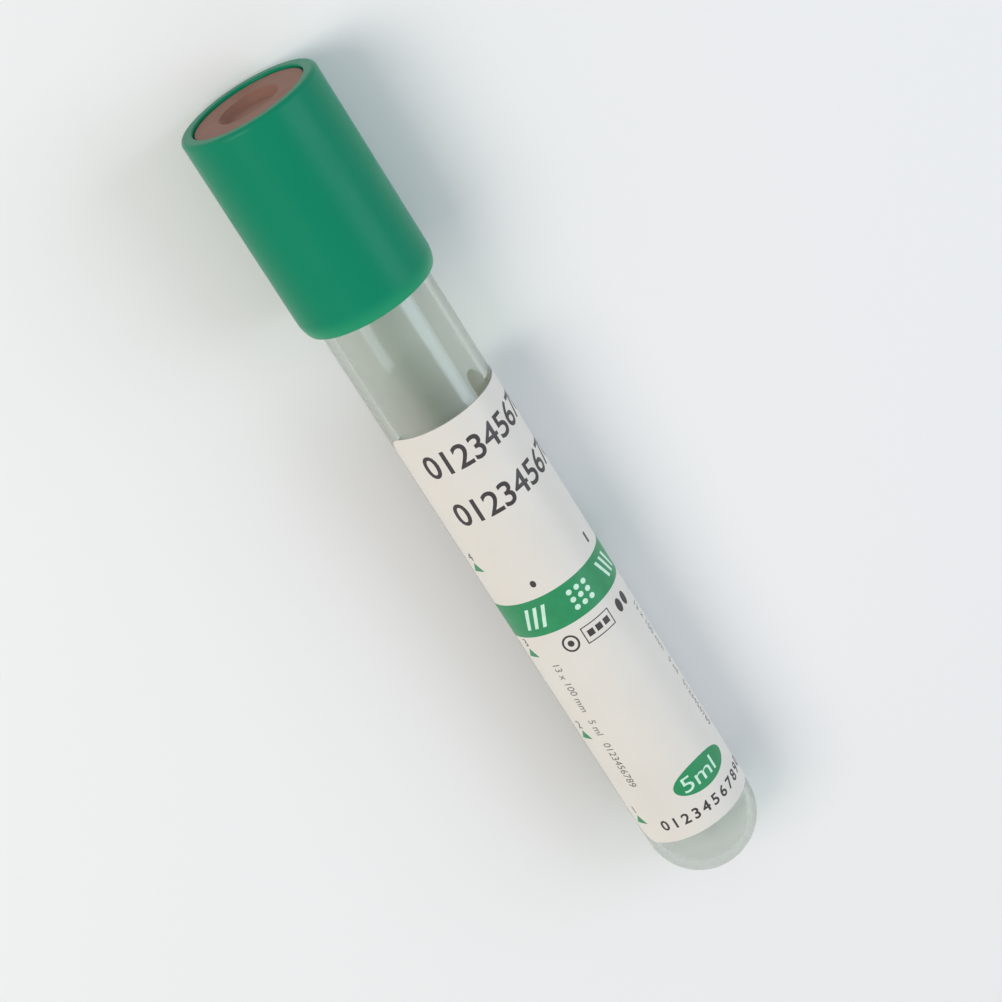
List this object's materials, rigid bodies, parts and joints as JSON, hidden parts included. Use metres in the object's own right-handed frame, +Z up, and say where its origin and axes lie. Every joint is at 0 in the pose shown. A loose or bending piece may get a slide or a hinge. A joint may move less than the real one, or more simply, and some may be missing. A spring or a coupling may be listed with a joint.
{
  "type": "blood collection tube",
  "caption": "Round-bottomed clear tube with a wrapped label, closed by a rubber stopper in a pull-off safety cap.",
  "frame": {"origin": "centre of the round bottom, on the tube's axis", "axes": "+X along the tube towards the cap, +Z up as the tube lies on a bench with its label upwards"},
  "size_m": [0.103, 0.0158, 0.0158],
  "materials": {
    "clear_glass": "clear, smooth, with a faint grey-green tint",
    "label_paper": "white semi-gloss adhesive label with a green band and dark digits",
    "stopper_rubber": "matt red-brown moulded rubber",
    "cap_plastic": "opaque green moulded plastic, satin to gloss"
  },
  "bodies": {
    "tube": {"tube": "clear_glass", "label": "label_paper"},
    "closure": {"safety_cap": "cap_plastic", "rubber_stopper": "stopper_rubber"}
  },
  "joints": [
    {"name": "closure_pull", "type": "slide", "parent": "tube", "child": "closure", "axis": [1, 0, 0], "range_m": [0, 0.03]}
  ]
}
